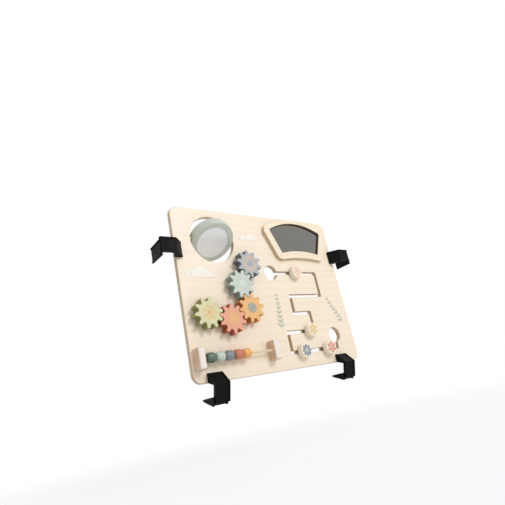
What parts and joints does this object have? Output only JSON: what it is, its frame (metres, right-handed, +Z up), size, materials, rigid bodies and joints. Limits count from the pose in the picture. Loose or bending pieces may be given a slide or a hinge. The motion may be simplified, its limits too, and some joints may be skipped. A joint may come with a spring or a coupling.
{
  "type": "high chair activity board",
  "caption": "Wooden play panel that clamps to the front of a high chair, with meshing gears, a bead rail, a turning mirror, a window and a maze of sliding knobs.",
  "frame": {"origin": "middle of the flat bottom edge of the board panel, at half the panel's thickness", "axes": "+X to the right seen from the front, +Y to the back, +Z up along the board; the front faces -Y"},
  "size_m": [0.4764, 0.0794, 0.3571],
  "materials": {
    "board_wood": "clear-lacquered birch plywood",
    "frame_wood": "clear-lacquered wood",
    "tinted_plate": "smoky reflective acrylic",
    "mirror": "silvered acrylic",
    "sage_paint": "satin paint",
    "post_wood": "white paint on wood",
    "rod_wood": "bare dowel",
    "black_plastic": "moulded, matt",
    "steel": "zinc-plated",
    "axle_wood": "bare dowel",
    "washer_wood": "bare plywood",
    "bush_plastic": "moulded",
    "blue_paint": "satin paint",
    "mint_paint": "satin paint",
    "orange_paint": "satin paint",
    "red_paint": "satin paint",
    "lime_paint": "satin paint",
    "forest_paint": "satin paint",
    "cream_paint": "satin paint"
  },
  "bodies": {
    "board": {"board_panel": "board_wood", "window_frame": "frame_wood", "window_plate": "tinted_plate", "bead_post_left": "post_wood", "bead_post_right": "post_wood", "bead_rod": "rod_wood", "post_screws": "steel", "clamp_upper_left": "black_plastic", "clamp_upper_right": "black_plastic", "clamp_lower_left": "black_plastic", "clamp_lower_right": "black_plastic", "clamp_screws": "steel", "mirror_pivot_pins": "steel", "mirror_spacers": "rod_wood", "gear_spacers": "washer_wood"},
    "mirror": {"mirror_ring": "sage_paint", "mirror_front": "mirror", "mirror_back": "mirror"},
    "gear_blue": {"gear_blue": "blue_paint", "gear_blue_axle": "axle_wood", "gear_blue_washer": "washer_wood", "gear_blue_screw": "steel"},
    "gear_mint": {"gear_mint": "mint_paint", "gear_mint_axle": "axle_wood", "gear_mint_washer": "washer_wood", "gear_mint_screw": "steel"},
    "gear_orange": {"gear_orange": "orange_paint", "gear_orange_axle": "axle_wood", "gear_orange_washer": "washer_wood", "gear_orange_screw": "steel"},
    "gear_red": {"gear_red": "red_paint", "gear_red_axle": "axle_wood", "gear_red_washer": "washer_wood", "gear_red_screw": "steel"},
    "gear_green": {"gear_green": "lime_paint", "gear_green_axle": "axle_wood", "gear_green_washer": "washer_wood", "gear_green_screw": "steel"},
    "bead_green": {"bead_green": "forest_paint"},
    "bead_mint": {"bead_mint": "mint_paint"},
    "bead_blue": {"bead_blue": "blue_paint"},
    "bead_red": {"bead_red": "red_paint"},
    "bead_orange": {"bead_orange": "orange_paint"},
    "slider_peach": {"flower_peach_bush": "bush_plastic"},
    "flower_peach": {"flower_peach": "cream_paint", "flower_peach_backer": "cream_paint", "flower_peach_screw": "steel"},
    "slider_yellow": {"flower_yellow_bush": "bush_plastic"},
    "flower_yellow": {"flower_yellow": "cream_paint", "flower_yellow_backer": "cream_paint", "flower_yellow_screw": "steel"},
    "slider_blue": {"flower_blue_bush": "bush_plastic"},
    "flower_blue": {"flower_blue": "cream_paint", "flower_blue_backer": "cream_paint", "flower_blue_screw": "steel"},
    "slider_red": {"flower_red_bush": "bush_plastic"},
    "flower_red": {"flower_red": "cream_paint", "flower_red_backer": "cream_paint", "flower_red_screw": "steel"}
  },
  "joints": [
    {"name": "mirror_flip", "type": "hinge", "parent": "board", "child": "mirror", "pos_m": [-0.118, 0, 0.258], "axis": [1, 0, 0], "continuous": true},
    {"name": "gear_blue_turn", "type": "hinge", "parent": "board", "child": "gear_blue", "pos_m": [-0.05601, 0, 0.20343], "axis": [0, -1, 0], "continuous": true},
    {"name": "gear_mint_turn", "type": "hinge", "parent": "board", "child": "gear_mint", "pos_m": [-0.0825, 0, 0.1634], "axis": [0, -1, 0], "continuous": true},
    {"name": "gear_orange_turn", "type": "hinge", "parent": "board", "child": "gear_orange", "pos_m": [-0.07113, 0, 0.11677], "axis": [0, -1, 0], "continuous": true},
    {"name": "gear_red_turn", "type": "hinge", "parent": "board", "child": "gear_red", "pos_m": [-0.11579, 0, 0.09917], "axis": [0, -1, 0], "continuous": true},
    {"name": "gear_green_turn", "type": "hinge", "parent": "board", "child": "gear_green", "pos_m": [-0.16213, 0, 0.11168], "axis": [0, -1, 0], "continuous": true},
    {"name": "bead_green_slide", "type": "slide", "parent": "board", "child": "bead_green", "axis": [1, 0, 0], "range_m": [-0.0025, 0.0092]},
    {"name": "bead_mint_slide", "type": "slide", "parent": "bead_green", "child": "bead_mint", "axis": [1, 0, 0], "range_m": [0, 0.0092]},
    {"name": "bead_blue_slide", "type": "slide", "parent": "bead_mint", "child": "bead_blue", "axis": [1, 0, 0], "range_m": [0, 0.0092]},
    {"name": "bead_red_slide", "type": "slide", "parent": "bead_blue", "child": "bead_red", "axis": [1, 0, 0], "range_m": [0, 0.0092]},
    {"name": "bead_orange_slide", "type": "slide", "parent": "bead_red", "child": "bead_orange", "axis": [1, 0, 0], "range_m": [0, 0.0092]},
    {"name": "flower_peach_slide", "type": "slide", "parent": "board", "child": "slider_peach", "axis": [1, 0, 0], "range_m": [-0.042, 0.061]},
    {"name": "flower_peach_spin", "type": "hinge", "parent": "slider_peach", "child": "flower_peach", "pos_m": [0.0695, 0, 0.1925], "axis": [0, -1, 0], "continuous": true},
    {"name": "flower_yellow_slide", "type": "slide", "parent": "board", "child": "slider_yellow", "axis": [1, 0, 0], "range_m": [-0.056, 0.014]},
    {"name": "flower_yellow_spin", "type": "hinge", "parent": "slider_yellow", "child": "flower_yellow", "pos_m": [0.0735, 0, 0.069], "axis": [0, -1, 0], "continuous": true},
    {"name": "flower_blue_slide", "type": "slide", "parent": "board", "child": "slider_blue", "axis": [1, 0, 0], "range_m": [-0.0255, 0.02]},
    {"name": "flower_blue_spin", "type": "hinge", "parent": "slider_blue", "child": "flower_blue", "pos_m": [0.043, 0, 0.03], "axis": [0, -1, 0], "continuous": true},
    {"name": "flower_red_slide", "type": "slide", "parent": "board", "child": "slider_red", "axis": [1, 0, 0], "range_m": [-0.02, 0.031]},
    {"name": "flower_red_spin", "type": "hinge", "parent": "slider_red", "child": "flower_red", "pos_m": [0.112, 0, 0.03], "axis": [0, -1, 0], "continuous": true}
  ],
  "couplings": [
    {"joint": "gear_blue_turn", "follows": "gear_mint_turn", "ratio": -1},
    {"joint": "gear_orange_turn", "follows": "gear_mint_turn", "ratio": -1},
    {"joint": "gear_red_turn", "follows": "gear_mint_turn", "ratio": 1},
    {"joint": "gear_green_turn", "follows": "gear_mint_turn", "ratio": -1}
  ]
}
